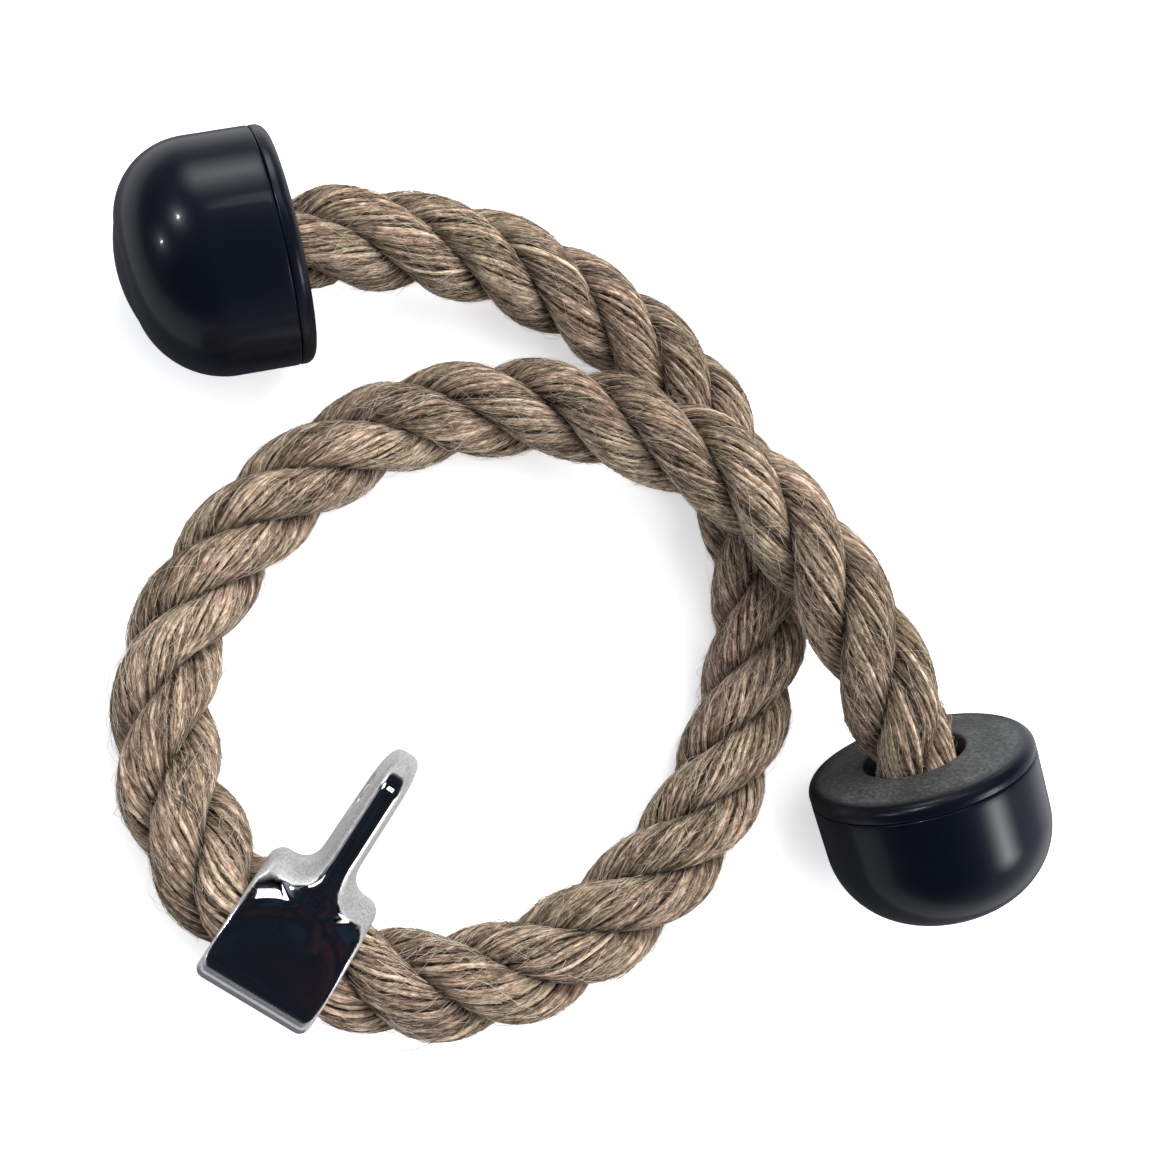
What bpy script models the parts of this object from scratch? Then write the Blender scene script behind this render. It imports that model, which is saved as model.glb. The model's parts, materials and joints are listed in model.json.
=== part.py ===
"""Triceps rope attachment: a jute rope with a steel eye bracket and two rubber end caps.

The frame stands at the middle of the bracket's flat back. +X runs along the rope where it
passes through the collar, +Y points at the eye, and +Z is up. All lengths are in metres.
"""
import math

import bmesh
import bpy
from mathutils import Matrix, Vector

# Clearances and cutter overrun
FIT_GAP = 0.0003
CUT_OVERRUN = 0.002
WELD = 0.00001

# Rope
ROPE_DIAMETER = 0.028
ROPE_POINT_SPACING = 0.009
ROPE_SIDES_LEVEL = 4
COLLAR_STRAIGHT = 0.0004

# Eye bracket
COLLAR_LENGTH = 0.0324
COLLAR_WALL = 0.0043
COLLAR_CORNER_RADIUS = 0.0065
COLLAR_SHOULDER_RADIUS = 0.014
COLLAR_EDGE_ROUND = 0.0015
BORE_MOUTH_ROUND = 0.0012
EYE_REACH = 0.0422
EYE_BORE_DIAMETER = 0.0155
EYE_WALL = 0.0082
EYE_MOUTH_ROUND = 0.0011
STALK_THICKNESS = 0.0115
STALK_EDGE_ROUND = 0.0036
STALK_STEP_IN = 0.0002
WEB_TOP = 0.0262
WEB_FLARE_LENGTH = 0.0170
WEB_FLARE_WIDTH = 0.014
WEB_FOOT = 0.0026

# Rubber caps, measured along their axis from the flat face inwards
CAP_DIAMETER = 0.066
CAP_DEPTH = 0.0472
CAP_WALL = 0.0065
CAP_CORNER_RADIUS = 0.0235
CAP_CROWN = 0.0020
CAP_DRAFT = 0.0003
CAP_END_THICKNESS = 0.010
CAP_MOUTH_CHAMFER = 0.0007
CAVITY_CORNER_RADIUS = 0.006
DISC_THICKNESS = 0.0045
DISC_EDGE_ROUND = 0.003
DISC_HOLE_CLEARANCE = 0.0009
SPIGOT_DEPTH = 0.003

# Steel pieces on each rope end, inside the cap
WASHER_CLEARANCE = 0.002
WASHER_THICKNESS = 0.0025
FERRULE_WALL = 0.0042
FERRULE_LENGTH = 0.0175
FERRULE_GROOVE_DEPTH = 0.0012
FERRULE_EDGE_CHAMFER = 0.0008
FERRULE_GROOVE_SHARES = (0.20, 0.30, 0.40, 0.60, 0.70, 0.80)
ROPE_END_STAND_OUT = 0.0004

# Where each cap lies: the point under the middle of its face, the way its face looks, and
# how far the face tips up
LEFT_CAP_PLACE = (-0.1057, 0.1581)
LEFT_CAP_HEADING = math.radians(48.0)
LEFT_CAP_PITCH = math.radians(0.0)
RIGHT_CAP_PLACE = (0.1249, 0.1310)
RIGHT_CAP_HEADING = math.radians(145.5)
RIGHT_CAP_PITCH = math.radians(15.5)

# The rope's middle line from the collar to each cap. The left run lies on the ground and
# passes under the right run, which climbs over it in a long low hump.
LEFT_RUN = (
    (0.0325, 0.0038, 0.0172), (0.0445, 0.0105, 0.0155), (0.0560, 0.0195, 0.0144),
    (0.0660, 0.0315, 0.0140), (0.0740, 0.0465, 0.0140), (0.0800, 0.0635, 0.0140),
    (0.0835, 0.0805, 0.0140), (0.0835, 0.0980, 0.0140), (0.0815, 0.1130, 0.0140),
    (0.0780, 0.1280, 0.0140), (0.0740, 0.1410, 0.0140), (0.0675, 0.1545, 0.0140),
    (0.0590, 0.1665, 0.0140), (0.0475, 0.1780, 0.0140), (0.0345, 0.1890, 0.0140),
    (0.0195, 0.1975, 0.0143), (0.0035, 0.2020, 0.0150), (-0.0145, 0.2040, 0.0161),
    (-0.0355, 0.2020, 0.0185), (-0.0575, 0.1960, 0.0225), (-0.0750, 0.1860, 0.0268),
    (-0.0890, 0.1750, 0.0308),
)
RIGHT_RUN = (
    (-0.0320, 0.0066, 0.0173), (-0.0448, 0.0142, 0.0155), (-0.0555, 0.0245, 0.0144),
    (-0.0630, 0.0350, 0.0140), (-0.0690, 0.0470, 0.0140), (-0.0715, 0.0600, 0.0140),
    (-0.0725, 0.0750, 0.0140), (-0.0715, 0.0905, 0.0140), (-0.0680, 0.1065, 0.0140),
    (-0.0625, 0.1215, 0.0140), (-0.0555, 0.1350, 0.0143), (-0.0460, 0.1465, 0.0155),
    (-0.0360, 0.1550, 0.0180), (-0.0240, 0.1625, 0.0217), (-0.0110, 0.1680, 0.0264),
    (0.0035, 0.1705, 0.0315), (0.0185, 0.1720, 0.0362), (0.0350, 0.1720, 0.0402),
    (0.0515, 0.1695, 0.0427), (0.0665, 0.1645, 0.0437), (0.0805, 0.1580, 0.0439),
    (0.0930, 0.1515, 0.0434), (0.1040, 0.1450, 0.0429),
)
CAP_STRAIGHT = 0.012

# Facet counts
TURN_STEPS = 36
BORE_STEPS = 40
ARC_STEPS = 6
CURVE_STEPS = 12

# Sizes that follow from the ones above
ROPE_RADIUS = ROPE_DIAMETER / 2
SLEEVE_RADIUS = ROPE_RADIUS + FIT_GAP
COLLAR_HALF = SLEEVE_RADIUS + COLLAR_WALL
HINGE_HEIGHT = COLLAR_HALF
EYE_RADIUS = EYE_BORE_DIAMETER / 2 + EYE_WALL
CAP_RADIUS = CAP_DIAMETER / 2
MOUTH_DEPTH = DISC_THICKNESS + FIT_GAP
CAVITY_RADIUS = CAP_RADIUS - CAP_WALL
CAVITY_DEPTH = CAP_DEPTH - CAP_END_THICKNESS
WASHER_DEPTH = DISC_THICKNESS + SPIGOT_DEPTH + FIT_GAP
FERRULE_DEPTH = WASHER_DEPTH + WASHER_THICKNESS + FIT_GAP
ROPE_END_DEPTH = FERRULE_DEPTH + FERRULE_LENGTH + ROPE_END_STAND_OUT


def clear_scene():
    """Remove every object that the file opened with."""
    for obj in list(bpy.data.objects):
        bpy.data.objects.remove(obj, do_unlink=True)


def make_collection(name):
    collection = bpy.data.collections.new(name)
    bpy.context.scene.collection.children.link(collection)
    return collection


def make_material(name, colour, roughness, metallic):
    material = bpy.data.materials.new(name)
    material.use_nodes = True
    shader = material.node_tree.nodes["Principled BSDF"]
    shader.inputs["Base Color"].default_value = (*colour, 1.0)
    shader.inputs["Roughness"].default_value = roughness
    shader.inputs["Metallic"].default_value = metallic
    return material


def link_mesh(name, mesh, collection, material=None):
    obj = bpy.data.objects.new(name, mesh)
    collection.objects.link(obj)
    if material:
        mesh.materials.append(material)
    return obj


def shade_round(mesh, sharp_angle=math.radians(35)):
    mesh.shade_smooth()
    mesh.set_sharp_from_angle(angle=sharp_angle)


def arc(centre, radius, start, end, steps=ARC_STEPS):
    """Points on an arc in a plane, from one angle to another, both ends included."""
    return [
        (centre[0] + radius * math.cos(start + (end - start) * i / steps),
         centre[1] + radius * math.sin(start + (end - start) * i / steps))
        for i in range(steps + 1)
    ]


def turned_piece(name, profile, collection, material, steps=TURN_STEPS, closed=False):
    """Turn a profile of (radius, height) points about local Z with a Screw modifier."""
    mesh = bpy.data.meshes.new(name)
    points = [(radius, 0, height) for radius, height in profile]
    edges = [(i, i + 1) for i in range(len(points) - 1)]
    if closed:
        edges.append((len(points) - 1, 0))
    mesh.from_pydata(points, edges, [])
    obj = link_mesh(name, mesh, collection, material)
    screw = obj.modifiers.new("Turn", "SCREW")
    screw.axis = "Z"
    screw.steps = steps
    screw.render_steps = steps
    screw.use_merge_vertices = True
    screw.merge_threshold = WELD
    screw.use_smooth_shade = True
    return obj


def outline_solid(name, outline, half_thickness, edge_round, collection):
    """A flat outline with thickness along local Z and rounded rims, as a welded mesh."""
    curve = bpy.data.curves.new(name, "CURVE")
    curve.dimensions = "2D"
    curve.fill_mode = "BOTH"
    curve.extrude = half_thickness - edge_round
    curve.bevel_depth = edge_round
    curve.bevel_resolution = 2
    curve.offset = -edge_round
    spline = curve.splines.new("POLY")
    spline.points.add(len(outline) - 1)
    for point, (x, y) in zip(spline.points, outline):
        point.co = (x, y, 0, 1)
    spline.use_cyclic_u = True
    source = bpy.data.objects.new(name, curve)
    collection.objects.link(source)
    return mesh_from_curve(source, name, collection)


def mesh_from_curve(source, name, collection):
    """Replace a curve object by a mesh object whose caps are welded on."""
    graph = bpy.context.evaluated_depsgraph_get()
    mesh = bpy.data.meshes.new_from_object(source.evaluated_get(graph))
    shape = bmesh.new()
    shape.from_mesh(mesh)
    bmesh.ops.remove_doubles(shape, verts=shape.verts, dist=WELD)
    bmesh.ops.recalc_face_normals(shape, faces=shape.faces)
    shape.to_mesh(mesh)
    shape.free()
    placed = source.matrix_world.copy()
    bpy.data.objects.remove(source, do_unlink=True)
    obj = link_mesh(name, mesh, collection)
    obj.matrix_world = placed
    return obj


def rounded_section(half_width, half_depth, corner):
    """A rounded rectangle in the XZ plane, counter-clockwise seen from -Y."""
    corner = min(corner, half_width * 0.9, half_depth * 0.9)
    wide, deep = half_width - corner, half_depth - corner
    points = []
    for quarter, (x, z) in enumerate(((wide, deep), (-wide, deep), (-wide, -deep), (wide, -deep))):
        start = quarter * math.pi / 2
        points += arc((x, z), corner, start, start + math.pi / 2, ARC_STEPS - 2)
    return points


def loft(name, sections, collection):
    """Skin a row of sections, each a (y, points in XZ) pair with as many points."""
    shape = bmesh.new()
    rings = [
        [shape.verts.new((x, y, z)) for x, z in points]
        for y, points in sections
    ]
    for lower, upper in zip(rings, rings[1:]):
        for i in range(len(lower)):
            j = (i + 1) % len(lower)
            shape.faces.new((lower[i], lower[j], upper[j], upper[i]))
    shape.faces.new(list(reversed(rings[0])))
    shape.faces.new(rings[-1])
    bmesh.ops.recalc_face_normals(shape, faces=shape.faces)
    mesh = bpy.data.meshes.new(name)
    shape.to_mesh(mesh)
    shape.free()
    return link_mesh(name, mesh, collection)


def boolean(target, cutter, operation):
    modifier = target.modifiers.new(cutter.name, "BOOLEAN")
    modifier.operation = operation
    modifier.solver = "EXACT"
    modifier.object = cutter
    cutter.hide_render = True
    cutter.display_type = "WIRE"


def collar_outline():
    """The collar seen along the rope: round shoulders by the eye, tight corners below."""
    quarter = math.pi / 2
    shoulder = COLLAR_HALF - COLLAR_SHOULDER_RADIUS
    corner = COLLAR_HALF - COLLAR_CORNER_RADIUS
    return (
        arc((shoulder, shoulder), COLLAR_SHOULDER_RADIUS, 0, quarter, 2 * ARC_STEPS)
        + arc((-corner, corner), COLLAR_CORNER_RADIUS, quarter, 2 * quarter)
        + arc((-corner, -corner), COLLAR_CORNER_RADIUS, 2 * quarter, 3 * quarter)
        + arc((shoulder, -shoulder), COLLAR_SHOULDER_RADIUS, 3 * quarter, 4 * quarter,
              2 * ARC_STEPS)[:-1]
    )


def stalk_half_width(reach):
    """Half the stalk's width along the rope, flaring out where it grows from the collar."""
    below = min(max(WEB_TOP - reach, 0.0) / WEB_FLARE_LENGTH, 1.0)
    flare = WEB_FLARE_WIDTH * (1 - math.sqrt(1 - below ** 2))
    widest = COLLAR_LENGTH / 2 - COLLAR_EDGE_ROUND
    return min(STALK_THICKNESS / 2 + flare, widest)


def stalk_sections():
    """Sections of the stalk and eye from inside the collar to the tip."""
    foot_depth = COLLAR_HALF - STALK_STEP_IN
    lean = math.asin((foot_depth - EYE_RADIUS) / EYE_REACH)
    start = -WEB_FOOT
    meet = EYE_REACH + EYE_RADIUS * math.sin(lean)
    sections = []
    flank_steps = 4 * ARC_STEPS
    for i in range(flank_steps):
        reach = start + (meet - start) * i / flank_steps
        depth = min((foot_depth - reach * math.sin(lean)) / math.cos(lean), foot_depth)
        sections.append((reach, rounded_section(stalk_half_width(reach), depth, STALK_EDGE_ROUND)))
    head_steps = 2 * ARC_STEPS
    last = math.radians(86)
    for i in range(head_steps + 1):
        turn = lean + (last - lean) * i / head_steps
        reach = EYE_REACH + EYE_RADIUS * math.sin(turn)
        depth = EYE_RADIUS * math.cos(turn)
        width = STALK_THICKNESS / 2
        crown = reach - (EYE_REACH + EYE_RADIUS - STALK_EDGE_ROUND)
        if crown > 0:
            width -= STALK_EDGE_ROUND - math.sqrt(STALK_EDGE_ROUND ** 2 - crown ** 2)
        sections.append((reach, rounded_section(width, depth, STALK_EDGE_ROUND)))
    return sections


def bore_cutter(name, radius, half_length, mouth_round, reach, collection):
    """A round cutter along X whose two ends flare, so the hole's rims come out rounded."""
    quarter = math.pi / 2
    far = half_length + CUT_OVERRUN
    wide = radius + mouth_round
    mouth = arc((wide, half_length - mouth_round), mouth_round, quarter, 2 * quarter, 3)
    lower = [(r, -h) for r, h in reversed(mouth)]
    profile = [(0, far), (wide, far)] + mouth + lower + [(wide, -far), (0, -far)]
    cutter = turned_piece(name, profile, collection, None, BORE_STEPS)
    cutter.location = (0, reach, HINGE_HEIGHT)
    cutter.rotation_euler = (0, math.pi / 2, 0)
    return cutter


def make_eye_bracket(parts, cutters, material):
    """The cast bracket: a collar round the rope, a stalk that grows from it, and an eye."""
    stand = Matrix(((0, 0, 1, 0), (1, 0, 0, 0), (0, 1, 0, 0), (0, 0, 0, 1)))
    bracket = outline_solid("eye_bracket", collar_outline(), COLLAR_LENGTH / 2,
                            COLLAR_EDGE_ROUND, parts)
    bracket.data.transform(stand)
    bracket.data.materials.append(material)
    bracket.location = (0, 0, HINGE_HEIGHT)
    stalk = loft("stalk_shape", stalk_sections(), cutters)
    stalk.location = (0, 0, HINGE_HEIGHT)
    boolean(bracket, stalk, "UNION")
    rope_bore = bore_cutter("rope_bore", SLEEVE_RADIUS, COLLAR_LENGTH / 2,
                            BORE_MOUTH_ROUND, 0, cutters)
    boolean(bracket, rope_bore, "DIFFERENCE")
    eye_bore = bore_cutter("eye_bore", EYE_BORE_DIAMETER / 2, STALK_THICKNESS / 2,
                           EYE_MOUTH_ROUND, EYE_REACH, cutters)
    boolean(bracket, eye_bore, "DIFFERENCE")
    shade_round(bracket.data)
    return bracket


def cup_outer_outline():
    """(depth, radius) points down the outside of the rubber cup, mouth to end."""
    wall_end = CAP_DEPTH - CAP_CROWN - CAP_CORNER_RADIUS
    end_radius = CAP_RADIUS - CAP_DRAFT
    last = math.radians(80)
    outline = [(MOUTH_DEPTH, CAP_RADIUS - CAP_MOUTH_CHAMFER), (MOUTH_DEPTH + CAP_MOUTH_CHAMFER, CAP_RADIUS)]
    for i in range(ARC_STEPS + 3):
        turn = last * i / (ARC_STEPS + 2)
        outline.append((wall_end + CAP_CORNER_RADIUS * math.sin(turn),
                        end_radius - CAP_CORNER_RADIUS * (1 - math.cos(turn))))
    rim_depth, rim_radius = outline[-1]
    for share in (0.5, 0.0):
        outline.append((CAP_DEPTH - (CAP_DEPTH - rim_depth) * share ** 2, rim_radius * share))
    return outline


def disc_outer_outline():
    """(depth, radius) points round the face disc's outer rim, face to back."""
    centre = (DISC_EDGE_ROUND, CAP_RADIUS - DISC_EDGE_ROUND)
    quarter = math.pi / 2
    return [(depth, radius) for depth, radius in arc(centre, DISC_EDGE_ROUND, 2 * quarter, quarter, 4)]


def face_height(pitch):
    """Height of the face's middle when the tipped cap lies on the ground."""
    outline = disc_outer_outline() + cup_outer_outline()
    return max(depth * math.sin(pitch) + radius * math.cos(pitch) for depth, radius in outline)


def cup_profile():
    """The rubber cup's section: up the cavity, over the mouth, down the outside."""
    corner = CAVITY_CORNER_RADIUS
    quarter = math.pi / 2
    floor_corner = arc((CAVITY_RADIUS - corner, -CAVITY_DEPTH + corner), corner, -quarter, 0, 4)
    profile = [(0, -CAVITY_DEPTH)] + floor_corner + [(CAVITY_RADIUS, -MOUTH_DEPTH)]
    return profile + [(radius, -depth) for depth, radius in cup_outer_outline()]


def disc_profile():
    """The face disc's section: a rounded rim, a spigot into the cup, and the rope's hole."""
    hole = ROPE_RADIUS + DISC_HOLE_CLEARANCE
    spigot = CAVITY_RADIUS - FIT_GAP
    profile = [(radius, -depth) for depth, radius in disc_outer_outline()]
    profile += [(CAP_RADIUS, -DISC_THICKNESS), (spigot, -DISC_THICKNESS),
                (spigot, -(DISC_THICKNESS + SPIGOT_DEPTH)), (hole, -(DISC_THICKNESS + SPIGOT_DEPTH)),
                (hole, 0)]
    return profile


def washer_profile():
    outer, bottom = CAVITY_RADIUS - WASHER_CLEARANCE, -(WASHER_DEPTH + WASHER_THICKNESS)
    return [(outer, -WASHER_DEPTH), (outer, bottom), (SLEEVE_RADIUS, bottom),
            (SLEEVE_RADIUS, -WASHER_DEPTH)]


def ferrule_profile():
    """The crimped sleeve's section, with two pressed grooves round its outside."""
    outer = SLEEVE_RADIUS + FERRULE_WALL
    chamfer = FERRULE_EDGE_CHAMFER
    top, bottom = -FERRULE_DEPTH, -(FERRULE_DEPTH + FERRULE_LENGTH)
    profile = [(outer - chamfer, top), (outer, top - chamfer)]
    for index, share in enumerate(FERRULE_GROOVE_SHARES):
        pressed = FERRULE_GROOVE_DEPTH if index % 3 == 1 else 0
        profile.append((outer - pressed, top - FERRULE_LENGTH * share))
    profile += [(outer, bottom + chamfer), (outer - chamfer, bottom),
                (SLEEVE_RADIUS, bottom), (SLEEVE_RADIUS, top)]
    return profile


def facing(heading, pitch):
    """Unit vector out of a cap's face."""
    level = math.cos(pitch)
    return Vector((math.cos(heading) * level, math.sin(heading) * level, math.sin(pitch)))


def make_cap(side, place, heading, pitch, parts, materials):
    """One rubber cap and what it holds, under an empty at the middle of its face."""
    out = facing(heading, pitch)
    across = Vector((-math.sin(heading), math.cos(heading), 0))
    frame = bpy.data.objects.new(side + "_cap_frame", None)
    parts.objects.link(frame)
    centre = Vector((place[0], place[1], face_height(pitch)))
    axes = Matrix((across, out.cross(across), out)).transposed()
    frame.matrix_world = Matrix.Translation(centre) @ axes.to_4x4()
    pieces = (
        turned_piece(side + "_cap_cup", cup_profile(), parts, materials["rubber"]),
        turned_piece(side + "_cap_face_disc", disc_profile(), parts, materials["face"], closed=True),
        turned_piece(side + "_retaining_washer", washer_profile(), parts, materials["zinc"], closed=True),
        turned_piece(side + "_rope_ferrule", ferrule_profile(), parts, materials["ferrule"], closed=True),
    )
    for piece in pieces:
        piece.parent = frame
    return centre, out


def smooth_line(points, leaving, arriving):
    """A dense line through the points: a Catmull-Rom curve that rounds every corner.

    The line leaves its first point and reaches its last one in the two given directions.
    """
    points = [Vector(point) for point in points]
    first_span = (points[1] - points[0]).length
    last_span = (points[-1] - points[-2]).length
    ends = [points[1] - 2 * first_span * leaving] + points
    ends.append(points[-2] + 2 * last_span * arriving)
    line = []
    for before, start, end, after in zip(ends, ends[1:], ends[2:], ends[3:]):
        for step in range(CURVE_STEPS):
            t = step / CURVE_STEPS
            line.append(0.5 * (
                2 * start + (end - before) * t
                + (2 * before - 5 * start + 4 * end - after) * t ** 2
                + (3 * start - before - 3 * end + after) * t ** 3))
    line.append(points[-1])
    return line


def even_points(line, spacing):
    """Points at an even distance along a line, its two ends included."""
    lengths = [0.0]
    for start, end in zip(line, line[1:]):
        lengths.append(lengths[-1] + (end - start).length)
    count = max(round(lengths[-1] / spacing), 1)
    points, index = [], 0
    for step in range(count + 1):
        target = lengths[-1] * step / count
        while index < len(line) - 2 and lengths[index + 1] < target:
            index += 1
        span = lengths[index + 1] - lengths[index]
        points.append(line[index].lerp(line[index + 1], (target - lengths[index]) / span))
    return points


def make_rope_leg(name, way, run, cap_centre, cap_out, parts, material):
    """One leg of the rope, from the collar's middle to its end inside a cap."""
    start = Vector((way * FIT_GAP / 2, 0, HINGE_HEIGHT))
    bend_start = Vector((way * (COLLAR_LENGTH / 2 + COLLAR_STRAIGHT), 0, HINGE_HEIGHT))
    before_cap = cap_centre + cap_out * CAP_STRAIGHT
    free = smooth_line([bend_start, *run, before_cap], Vector((way, 0, 0)), -cap_out)
    points = [start] + even_points(free, ROPE_POINT_SPACING)
    points += [cap_centre - cap_out * ROPE_END_DEPTH]
    curve = bpy.data.curves.new(name, "CURVE")
    curve.dimensions = "3D"
    curve.bevel_depth = ROPE_RADIUS
    curve.bevel_resolution = ROPE_SIDES_LEVEL
    curve.use_fill_caps = True
    spline = curve.splines.new("POLY")
    spline.points.add(len(points) - 1)
    for point, place in zip(spline.points, points):
        point.co = (*place, 1)
    curve.materials.append(material)
    rope = bpy.data.objects.new(name, curve)
    parts.objects.link(rope)
    return rope


def main():
    clear_scene()
    parts = make_collection("triceps_rope")
    cutters = make_collection("cutters")
    materials = {
        "chrome": make_material("chrome", (0.70, 0.71, 0.73), 0.08, 1.0),
        "rubber": make_material("black_rubber", (0.012, 0.014, 0.018), 0.32, 0.0),
        "face": make_material("face_rubber", (0.035, 0.037, 0.040), 0.60, 0.0),
        "zinc": make_material("zinc_plate", (0.55, 0.56, 0.58), 0.35, 1.0),
        "ferrule": make_material("ferrule_aluminium", (0.62, 0.63, 0.65), 0.40, 1.0),
        "jute": make_material("jute", (0.36, 0.27, 0.18), 0.95, 0.0),
    }
    make_eye_bracket(parts, cutters, materials["chrome"])
    left = make_cap("left", LEFT_CAP_PLACE, LEFT_CAP_HEADING, LEFT_CAP_PITCH, parts, materials)
    right = make_cap("right", RIGHT_CAP_PLACE, RIGHT_CAP_HEADING, RIGHT_CAP_PITCH, parts, materials)
    make_rope_leg("left_rope_leg", 1, LEFT_RUN, *left, parts, materials["jute"])
    make_rope_leg("right_rope_leg", -1, RIGHT_RUN, *right, parts, materials["jute"])


main()
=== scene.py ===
"""Looks for the triceps rope attachment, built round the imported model."""
import json
import math

import bpy
import numpy as np
from mathutils import Matrix, Vector

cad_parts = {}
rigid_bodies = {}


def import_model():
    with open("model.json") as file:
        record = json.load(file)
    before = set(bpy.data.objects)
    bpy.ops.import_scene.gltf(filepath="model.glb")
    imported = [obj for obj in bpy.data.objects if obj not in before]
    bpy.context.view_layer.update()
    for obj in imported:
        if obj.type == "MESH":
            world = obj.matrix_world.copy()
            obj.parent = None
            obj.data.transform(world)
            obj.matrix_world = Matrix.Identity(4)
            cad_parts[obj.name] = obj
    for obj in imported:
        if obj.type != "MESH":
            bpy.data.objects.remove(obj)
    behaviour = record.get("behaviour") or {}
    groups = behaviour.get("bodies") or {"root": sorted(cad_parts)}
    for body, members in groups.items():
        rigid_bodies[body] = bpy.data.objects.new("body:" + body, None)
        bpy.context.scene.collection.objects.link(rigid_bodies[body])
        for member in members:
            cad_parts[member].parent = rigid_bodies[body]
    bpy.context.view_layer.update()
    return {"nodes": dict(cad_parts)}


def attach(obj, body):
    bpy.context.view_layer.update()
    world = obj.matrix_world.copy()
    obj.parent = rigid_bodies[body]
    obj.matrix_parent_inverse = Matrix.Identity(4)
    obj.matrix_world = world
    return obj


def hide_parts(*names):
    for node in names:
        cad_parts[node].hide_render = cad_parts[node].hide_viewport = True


MM = 0.001
TAU = 2 * math.pi

# Camera
CAMERA_PLACE = (-0.0152, 0.0198, 0.3663)
CAMERA_TARGET = (0.0187, 0.1276, 0.0140)
IMAGE_UP = (-0.5150, 0.8572, 0.0)
FOCAL_SHARE = 1230 / 1170
SENSOR_WIDTH = 36.0

# Sizes that the solids have too
ROPE_DIAMETER = 0.028
FIT_GAP = 0.0003
COLLAR_LENGTH = 0.0324
COLLAR_WALL = 0.0043
COLLAR_STRAIGHT = 0.0004
HINGE_HEIGHT = ROPE_DIAMETER / 2 + FIT_GAP + COLLAR_WALL
EYE_REACH = 0.0422
EYE_BORE_RADIUS = 0.00775
EYE_WALL = 0.0082
STALK_THICKNESS = 0.0115
CAP_RADIUS = 0.033
CAP_DEPTH = 0.0472
CAP_CORNER_RADIUS = 0.0235
CAP_CROWN = 0.0020
CAP_DRAFT = 0.0003
CAP_STRAIGHT = 0.012
DISC_THICKNESS = 0.0045
DISC_EDGE_ROUND = 0.003
ROPE_END_DEPTH = 0.0284
LEFT_CAP_PLACE = (-0.1057, 0.1581)
LEFT_CAP_HEADING = math.radians(48.0)
LEFT_CAP_PITCH = math.radians(0.0)
RIGHT_CAP_PLACE = (0.1249, 0.1310)
RIGHT_CAP_HEADING = math.radians(145.5)
RIGHT_CAP_PITCH = math.radians(15.5)

# The rope's route, as in the part's source
LEFT_RUN = (
    (0.0325, 0.0038, 0.0172), (0.0445, 0.0105, 0.0155), (0.0560, 0.0195, 0.0144),
    (0.0660, 0.0315, 0.0140), (0.0740, 0.0465, 0.0140), (0.0800, 0.0635, 0.0140),
    (0.0835, 0.0805, 0.0140), (0.0835, 0.0980, 0.0140), (0.0815, 0.1130, 0.0140),
    (0.0780, 0.1280, 0.0140), (0.0740, 0.1410, 0.0140), (0.0675, 0.1545, 0.0140),
    (0.0590, 0.1665, 0.0140), (0.0475, 0.1780, 0.0140), (0.0345, 0.1890, 0.0140),
    (0.0195, 0.1975, 0.0143), (0.0035, 0.2020, 0.0150), (-0.0145, 0.2040, 0.0161),
    (-0.0355, 0.2020, 0.0185), (-0.0575, 0.1960, 0.0225), (-0.0750, 0.1860, 0.0268),
    (-0.0890, 0.1750, 0.0308),
)
RIGHT_RUN = (
    (-0.0320, 0.0066, 0.0173), (-0.0448, 0.0142, 0.0155), (-0.0555, 0.0245, 0.0144),
    (-0.0630, 0.0350, 0.0140), (-0.0690, 0.0470, 0.0140), (-0.0715, 0.0600, 0.0140),
    (-0.0725, 0.0750, 0.0140), (-0.0715, 0.0905, 0.0140), (-0.0680, 0.1065, 0.0140),
    (-0.0625, 0.1215, 0.0140), (-0.0555, 0.1350, 0.0143), (-0.0460, 0.1465, 0.0155),
    (-0.0360, 0.1550, 0.0180), (-0.0240, 0.1625, 0.0217), (-0.0110, 0.1680, 0.0264),
    (0.0035, 0.1705, 0.0315), (0.0185, 0.1720, 0.0362), (0.0350, 0.1720, 0.0402),
    (0.0515, 0.1695, 0.0427), (0.0665, 0.1645, 0.0437), (0.0805, 0.1580, 0.0439),
    (0.0930, 0.1515, 0.0434), (0.1040, 0.1450, 0.0429),
)

# Stage
DARK_SKY = (0.20, 0.44, 0.875)
SOUTH_SKY = (0.05, -0.55, 0.83)
PALE_SKY = (0.55, 0.75, 0.35)
DARK_EDGE = (0.62, 0.77)
SOUTH_EDGE = (0.45, 0.80)
FLOOR_GLOW = 0.53
FLOOR_GREY = 0.88
FLOOR_IN_CHROME = 0.50
FLOOR_HALF_WIDTH = 3.0
FLOOR_DROP = 0.0002
FLAG_SIDES = 48

# Where pieces that would sink into the floor are held
ROPE_LOWEST = 0.00005
FIBRE_LOWEST = 0.0001
RUBBER_LOWEST = 0.00002

# Lay of the rope
STRAND_ORBIT = 0.0072
STRAND_DEPTH = 0.0068
STRAND_BREADTH = 0.0080
YARNS_PER_STRAND = 34
YARN_RADIUS = 0.00074
YARN_SIDES = 5
YARN_STEP = 0.0026
LEFT_LAY = (-0.30, 0.0749, 0.0088)
RIGHT_LAY = (0.31, 0.0690, 0.038)
LEFT_SWELL = ((0.0, 1.04), (0.44, 1.04))
RIGHT_SWELL = ((0.05, 1.0), (0.09, 0.975), (0.16, 0.98), (0.20, 1.035), (0.24, 1.035),
               (0.29, 1.0), (0.36, 1.03))
NECK_SIZE = 0.89
NECK_LENGTH = 0.014
RIGHT_CAP_SKEW = 0.035
RIGHT_CAP_NUDGE = 0.0012
RIGHT_HOLE_SHIFT = 0.0008
FACE_CROWN = 0.0020
FIBRES_PER_METRE = 19000
FIBRE_JOINTS = 5
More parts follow.
